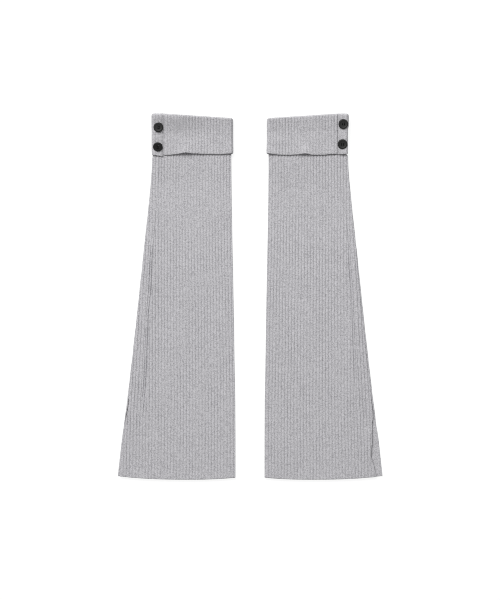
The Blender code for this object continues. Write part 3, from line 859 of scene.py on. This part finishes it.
# The yarn's shade, from 0 for dark fibre to 1 for pale, and how far each of these lightens it
SHADE_DARKEST = 0.065
FLECK_SHADE = 0.48
STITCH_SHADE = 0.11
FIBRE_SHADE = 0.27


def linear(hex_colour):
    """An sRGB hex colour as linear RGBA."""
    levels = [int(hex_colour[place:place + 2], 16) / 255.0 for place in (1, 3, 5)]
    levels = [level / 12.92 if level <= 0.04045 else ((level + 0.055) / 1.055) ** 2.4 for level in levels]
    return (*levels, 1.0)


def add(tree, kind, inputs=None, **settings):
    """Add a node: inputs holds a value or a socket to link for each of its sockets."""
    node = tree.nodes.new(kind)
    for name, value in settings.items():
        setattr(node, name, value)
    for name, value in (inputs or {}).items():
        if isinstance(value, bpy.types.NodeSocket):
            tree.links.new(value, node.inputs[name])
        else:
            node.inputs[name].default_value = value
    return node


def fill_ramp(ramp, colours):
    """Give a colour ramp its colours, by place."""
    ramp.elements.remove(ramp.elements[1])
    for place, colour in colours.items():
        element = ramp.elements.new(place) if place > 0.0 else ramp.elements[0]
        element.color = colour


def new_material(name, surface):
    """A material whose surface has the given values on its own sockets."""
    material = bpy.data.materials.new(name)
    material.use_nodes = True
    shader = material.node_tree.nodes["Principled BSDF"]
    for socket, value in surface.items():
        shader.inputs[socket].default_value = value
    return material


# Heather-grey melange: wool and acrylic, dyed dark and pale before spinning, soft spun and machine
# knitted in rib.  To the eye it is matt, because the fibres scatter the light, with a faint bloom
# where they stand off its edges, pale and dark flecks, and small V-shaped stitches on every rib
def heather_knit(name):
    """Heather-grey rib knit, patterned by the rib and course numbers of its cloth."""
    material = new_material(name, {
        "Roughness": 0.92, "IOR": 1.5, "Specular IOR Level": 0.25,
        "Sheen Weight": 0.12, "Sheen Roughness": 0.5,
    })
    tree = material.node_tree
    shader = tree.nodes["Principled BSDF"]
    knit = add(tree, "ShaderNodeAttribute", attribute_name="knit").outputs["Vector"]
    rib, course, piece = add(tree, "ShaderNodeSeparateXYZ", {0: knit}).outputs

    # Stitches: strands that lean up from the groove to the middle of the rib
    to_groove = add(tree, "ShaderNodeMath", {0: rib, 1: 0.5}, operation="PINGPONG").outputs[0]
    lean = {0: to_groove, 1: LOOP_LEAN, 2: course}
    strand = add(tree, "ShaderNodeMath", lean, operation="MULTIPLY_ADD").outputs[0]
    turn = add(tree, "ShaderNodeMath", {0: strand, 1: math.tau}, operation="MULTIPLY").outputs[0]
    wave = add(tree, "ShaderNodeMath", {0: turn}, operation="SINE").outputs[0]
    loop = add(tree, "ShaderNodeMapRange", {0: wave, 1: -1.0, 2: 1.0}).outputs[0]
    profile = add(tree, "ShaderNodeValToRGB", {0: to_groove})
    profile.color_ramp.interpolation = "EASE"
    fill_ramp(profile.color_ramp, {place: (high, high, high, 1.0) for place, high in YARN_HEIGHT.items()})
    height = add(tree, "ShaderNodeMath", {0: loop, 1: profile.outputs[0]}, operation="MULTIPLY").outputs[0]

    def by_chance(across, up):
        """A level for each cell of the knit, by chance but the same at each run."""
        cells = add(tree, "ShaderNodeCombineXYZ", {
            0: add(tree, "ShaderNodeMath", {0: across}, operation="FLOOR").outputs[0],
            1: add(tree, "ShaderNodeMath", {0: up}, operation="FLOOR").outputs[0],
            2: piece,
        })
        return add(tree, "ShaderNodeTexWhiteNoise", {"Vector": cells.outputs[0]}).outputs["Value"]

    # Melange: flecks, whole stitches and fine fibres, each paler or darker than the next
    fleck_across = add(tree, "ShaderNodeMath", {0: rib, 1: FLECKS_TO_RIB}, operation="MULTIPLY").outputs[0]
    fleck_up = add(tree, "ShaderNodeMath", {0: course, 1: FLECKS_TO_COURSE}, operation="MULTIPLY").outputs[0]
    stitch_across = add(tree, "ShaderNodeMath", {0: rib, 1: STITCHES_TO_RIB}, operation="MULTIPLY").outputs[0]
    stitch = add(tree, "ShaderNodeCombineXYZ", {0: stitch_across, 1: course, 2: piece}).outputs[0]
    fibres = add(tree, "ShaderNodeTexNoise", {
        "Vector": stitch, "Scale": FIBRES_TO_STITCH, "Detail": 4.0, "Roughness": 0.7,
    }).outputs[0]
    shade = SHADE_DARKEST
    for source, share in (
        (by_chance(fleck_across, fleck_up), FLECK_SHADE),
        (by_chance(stitch_across, course), STITCH_SHADE),
        (fibres, FIBRE_SHADE),
    ):
        lightened = {0: source, 1: share, 2: shade}
        shade = add(tree, "ShaderNodeMath", lightened, operation="MULTIPLY_ADD").outputs[0]
    colour = add(tree, "ShaderNodeValToRGB", {0: shade})
    fill_ramp(colour.color_ramp, {
        0.0: linear(DARK_FIBRE), 0.5: linear(HEATHER_GREY), 1.0: linear(PALE_FIBRE),
    })
    tree.links.new(colour.outputs[0], shader.inputs["Base Color"])

    fuzz = add(tree, "ShaderNodeMath", {0: fibres, 1: FUZZ, 2: height}, operation="MULTIPLY_ADD").outputs[0]
    bump = add(tree, "ShaderNodeBump", {"Strength": 1.0, "Distance": LOOP_HEIGHT * MM, "Height": fuzz})
    tree.links.new(bump.outputs[0], shader.inputs["Normal"])
    return material


# Black polyester, moulded and tumbled.  To the eye it is almost black all through, with a soft broad
# shine along the raised rim
def button_polyester():
    """Black polyester of the buttons."""
    return new_material("moulded_black_polyester", {
        "Base Color": linear(BUTTON_BLACK), "Roughness": 0.55, "IOR": 1.5, "Specular IOR Level": 0.4,
    })


# Spun polyester thread.  To the eye it is as black as the button but matt, so that its bars show
def sewing_thread():
    """Black thread that holds the buttons on."""
    return new_material("black_sewing_thread", {
        "Base Color": linear(THREAD_BLACK), "Roughness": 0.9, "Specular IOR Level": 0.15,
    })


# Opal acrylic sheet, lit from below.  To the eye it is an even white with hardly a shadow on it
def opal_acrylic():
    """White acrylic of the light table."""
    return new_material("opal_acrylic_light_table", {
        "Base Color": linear(OPAL_UNLIT), "Roughness": 0.9, "Specular IOR Level": 0.1,
        "Emission Color": linear(WHITE), "Emission Strength": TABLE_GLOW,
    })


# ---------------------------------------------------------------------------------------------
# Buttons

Ring = namedtuple("Ring", "radius level")
BUTTON_PROFILE = (
    Ring(0.0, 1.72), Ring(2.6, 1.72), Ring(3.6, 1.74), Ring(4.1, 1.8), Ring(4.5, 1.9), Ring(4.9, 1.98),
    Ring(5.3, 2.02), Ring(5.7, 1.96), Ring(6.05, 1.78), Ring(6.4, 1.45), Ring(6.6, 1.05),
    Ring(6.5, 0.7), Ring(6.15, 0.4), Ring(5.7, 0.12), Ring(5.1, 0.0), Ring(0.0, 0.0),
)
BUTTON_SEGMENTS = 64
BUTTON_WELD = 0.01  # points this close are one
BUTTON_CREASE = 38.0  # degrees past which an edge of a button is sharp
BUTTON_REST = 4.4  # a tilted button rests on its rim this far from its middle
HOLE_RADIUS = 0.8
HOLE_SPREAD = 1.35  # from the button's middle to a hole's, along and across
HOLE_SEGMENTS = 20
PIN_LENGTH = 5.0
PIN_MIDDLE = 1.5

STRANDS = (-0.34, 0.0, 0.34)  # the strands of a bar of thread lie side by side
STRAND_RADIUS = 0.21
STRAND_STEPS = 12
STRAND_SEGMENTS = 8
STRAND_PAST = 0.12  # they go down this far past the middle of each hole
STRAND_LOW = 0.9
STRAND_RISE = 1.2
STRAND_ROUND = 0.1  # the outer ones lie lower
STRAND_FULLNESS = 0.6
STRAND_BUNCHED = 0.6  # they come this close in the holes


def button_mesh(finish):
    """Turned button with its four holes cut."""
    turned = bmesh.new()
    spots = [turned.verts.new((ring.radius * MM, 0.0, ring.level * MM)) for ring in BUTTON_PROFILE]
    edges = [turned.edges.new(pair) for pair in zip(spots, spots[1:])]
    bmesh.ops.spin(
        turned, geom=spots + edges, cent=(0.0, 0.0, 0.0), axis=(0.0, 0.0, 1.0), angle=math.tau,
        steps=BUTTON_SEGMENTS,
    )
    bmesh.ops.remove_doubles(turned, verts=turned.verts, dist=BUTTON_WELD * MM)
    bmesh.ops.recalc_face_normals(turned, faces=turned.faces)
    blank_mesh = bpy.data.meshes.new("button_blank")
    turned.to_mesh(blank_mesh)
    turned.free()
    pins = bmesh.new()
    for across in (-HOLE_SPREAD, HOLE_SPREAD):
        for up in (-HOLE_SPREAD, HOLE_SPREAD):
            bmesh.ops.create_cone(
                pins, cap_ends=True, segments=HOLE_SEGMENTS, radius1=HOLE_RADIUS * MM,
                radius2=HOLE_RADIUS * MM, depth=PIN_LENGTH * MM,
                matrix=Matrix.Translation((across * MM, up * MM, PIN_MIDDLE * MM)),
            )
    pin_mesh = bpy.data.meshes.new("hole_pins")
    pins.to_mesh(pin_mesh)
    pins.free()
    blank = bpy.data.objects.new("button_blank", blank_mesh)
    cutter = bpy.data.objects.new("hole_pins", pin_mesh)
    for node in (blank, cutter):
        bpy.context.scene.collection.objects.link(node)
    cut = blank.modifiers.new("holes", "BOOLEAN")
    cut.operation = "DIFFERENCE"
    cut.solver = "EXACT"
    cut.object = cutter
    mesh = bpy.data.meshes.new_from_object(blank.evaluated_get(bpy.context.evaluated_depsgraph_get()))
    mesh.name = "four_hole_button"
    mesh.materials.clear()
    mesh.materials.append(finish)
    mesh.shade_smooth()
    mesh.set_sharp_from_angle(angle=math.radians(BUTTON_CREASE))
    for node in (blank, cutter):
        bpy.data.objects.remove(node, do_unlink=True)
    return mesh


def strand_path(up, beside):
    """One strand of a bar: up out of a hole, across, and down into the next."""
    path = []
    for step in range(STRAND_STEPS + 1):
        share = step / STRAND_STEPS
        along = (2.0 * share - 1.0) * (HOLE_SPREAD + STRAND_PAST)
        crown = math.sin(math.pi * share) ** STRAND_FULLNESS
        spread = STRAND_BUNCHED + (1.0 - STRAND_BUNCHED) * crown
        level = STRAND_LOW + STRAND_RISE * crown - STRAND_ROUND * abs(beside)
        path.append(Vector((along, up + beside * spread, level)))
    return path


def wind_strand(wound, path):
    """Add a round strand along a path."""
    side = Vector((0.0, 1.0, 0.0))
    angles = [math.tau * number / STRAND_SEGMENTS for number in range(STRAND_SEGMENTS)]
    rings = []
    for number, point in enumerate(path):
        ahead = path[min(number + 1, len(path) - 1)] - path[max(number - 1, 0)]
        normal = ahead.cross(side).normalized()
        looks = [math.cos(angle) * side + math.sin(angle) * normal for angle in angles]
        rings.append([wound.verts.new((point + STRAND_RADIUS * look) * MM) for look in looks])
    for here, there in zip(rings, rings[1:]):
        for spot in range(STRAND_SEGMENTS):
            after = (spot + 1) % STRAND_SEGMENTS
            wound.faces.new((here[spot], here[after], there[after], there[spot]))
    wound.faces.new(rings[0])
    wound.faces.new(list(reversed(rings[-1])))


def thread_mesh(finish):
    """Two bars of thread, each over two holes, with the ends down in the holes."""
    wound = bmesh.new()
    for up in (-HOLE_SPREAD, HOLE_SPREAD):
        for beside in STRANDS:
            wind_strand(wound, strand_path(up, beside))
    bmesh.ops.recalc_face_normals(wound, faces=wound.faces)
    mesh = bpy.data.meshes.new("thread_bars")
    wound.to_mesh(mesh)
    wound.free()
    mesh.materials.append(finish)
    mesh.shade_smooth()
    return mesh


def place_button(piece, button):
    """Put a button or its thread where the button is sewn on."""
    tilt = math.radians(button.tilt)
    level = CUFF_MIDDLE + TAB_OUT + SEAM_GAP + BUTTON_REST * math.sin(tilt)
    level += float(puffed(button.side, button.across, button.up)) - BUTTON_SINK - BUTTON_LOW
    piece.location = (SIDES[button.side] * button.across * MM, button.up * MM, level * MM)
    piece.rotation_mode = "ZYX"
    piece.rotation_euler = (tilt, 0.0, math.radians(button.turn))
    bpy.context.scene.collection.objects.link(piece)


# ---------------------------------------------------------------------------------------------
# Making the pieces

def make_pieces():
    """Every piece, on the part's one body, with the solid it stands for."""
    rib_knit = heather_knit("heather_rib_knit")
    cuff_knit = heather_knit("heather_cuff_rib_knit")
    plastic = button_polyester()
    thread = sewing_thread()
    for side in SIDES:
        for facing, word in ((FRONT, "front"), (BACK, "back")):
            name = f"{side}_{word}_panel"
            piece = add_panel(side, facing, name + "_knit", rib_knit)
            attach(piece, "root")
            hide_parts(name)
        piece = add_cuff(side, side + "_cuff_knit", cuff_knit)
        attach(piece, "root")
        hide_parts(side + "_cuff")
        piece = add_tab(side, side + "_button_tab_knit", cuff_knit)
        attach(piece, "root")
        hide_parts(side + "_button_tab")
    blank = button_mesh(plastic)
    bars = thread_mesh(thread)
    for button in BUTTONS:
        piece = bpy.data.objects.new(button.name + "_moulded", blank)
        place_button(piece, button)
        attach(piece, "root")
        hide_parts(button.name)
        piece = bpy.data.objects.new(button.name + "_thread", bars)
        place_button(piece, button)
        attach(piece, "root")


# ---------------------------------------------------------------------------------------------
# Camera, floor and light

PIXEL = 1.35  # millimetres of the object to one pixel of a picture 500 wide and 600 high
PICTURE_HEIGHT = 600
CENTRE = (-0.00026, -0.00427)  # what the camera stands over; this and what follows is in metres
CAMERA_HEIGHT = 4.5
CAMERA_SENSOR = 36.0  # millimetres, as its lens is
CAMERA_REACH = (0.1, 20.0)

FLOOR_HALF = 4.0
FLOOR_DROP = 0.0002  # the floor stays just clear of the cloth
TABLE_GLOW = 0.87

LIGHT_PLACE = (-1.2, 2.87, 3.6)  # beyond the cuffs and a little to the left
LIGHT_SIZE = (2.85, 2.3)
LIGHT_POWER = 231.0  # watts
ROOM_GLOW = 0.356


def make_camera():
    """Long lens, straight above."""
    data = bpy.data.cameras.new("camera_above")
    data.sensor_width = CAMERA_SENSOR
    data.lens = CAMERA_SENSOR * CAMERA_HEIGHT / (PICTURE_HEIGHT * PIXEL * MM)
    data.clip_start, data.clip_end = CAMERA_REACH
    camera = bpy.data.objects.new("camera_above", data)
    camera.location = (*CENTRE, CAMERA_HEIGHT)
    bpy.context.scene.collection.objects.link(camera)
    bpy.context.scene.camera = camera


def make_floor():
    """Plain white light table."""
    corners = [(-1.0, -1.0), (1.0, -1.0), (1.0, 1.0), (-1.0, 1.0)]
    mesh = bpy.data.meshes.new("floor")
    mesh.from_pydata([(FLOOR_HALF * x, FLOOR_HALF * y, 0.0) for x, y in corners], [], [(0, 1, 2, 3)])
    mesh.materials.append(opal_acrylic())
    floor = bpy.data.objects.new("floor", mesh)
    floor.location = (0.0, 0.0, -FLOOR_DROP)
    bpy.context.scene.collection.objects.link(floor)


def make_light():
    """Large soft box above the cuffs' end, in a softly lit white room."""
    world = bpy.data.worlds.new("soft_white_room")
    world.use_nodes = True
    background = world.node_tree.nodes["Background"]
    background.inputs["Color"].default_value = linear(WHITE)
    background.inputs["Strength"].default_value = ROOM_GLOW
    bpy.context.scene.world = world
    data = bpy.data.lights.new("soft_box", "AREA")
    data.shape = "RECTANGLE"
    data.size, data.size_y = LIGHT_SIZE
    data.energy = LIGHT_POWER
    light = bpy.data.objects.new("soft_box", data)
    light.location = LIGHT_PLACE
    light.rotation_mode = "QUATERNION"
    light.rotation_quaternion = (-light.location).to_track_quat("-Z", "Y")
    bpy.context.scene.collection.objects.link(light)


def keep_ribs_crisp():
    """Plain sRGB colours, with a narrow pixel filter and a plain denoiser that don't blur the ribs."""
    scene = bpy.context.scene
    scene.view_settings.view_transform = "Standard"
    scene.cycles.filter_width = 1.0
    scene.cycles.denoising_prefilter = "NONE"


make_pieces()
make_floor()
make_camera()
make_light()
keep_ribs_crisp()
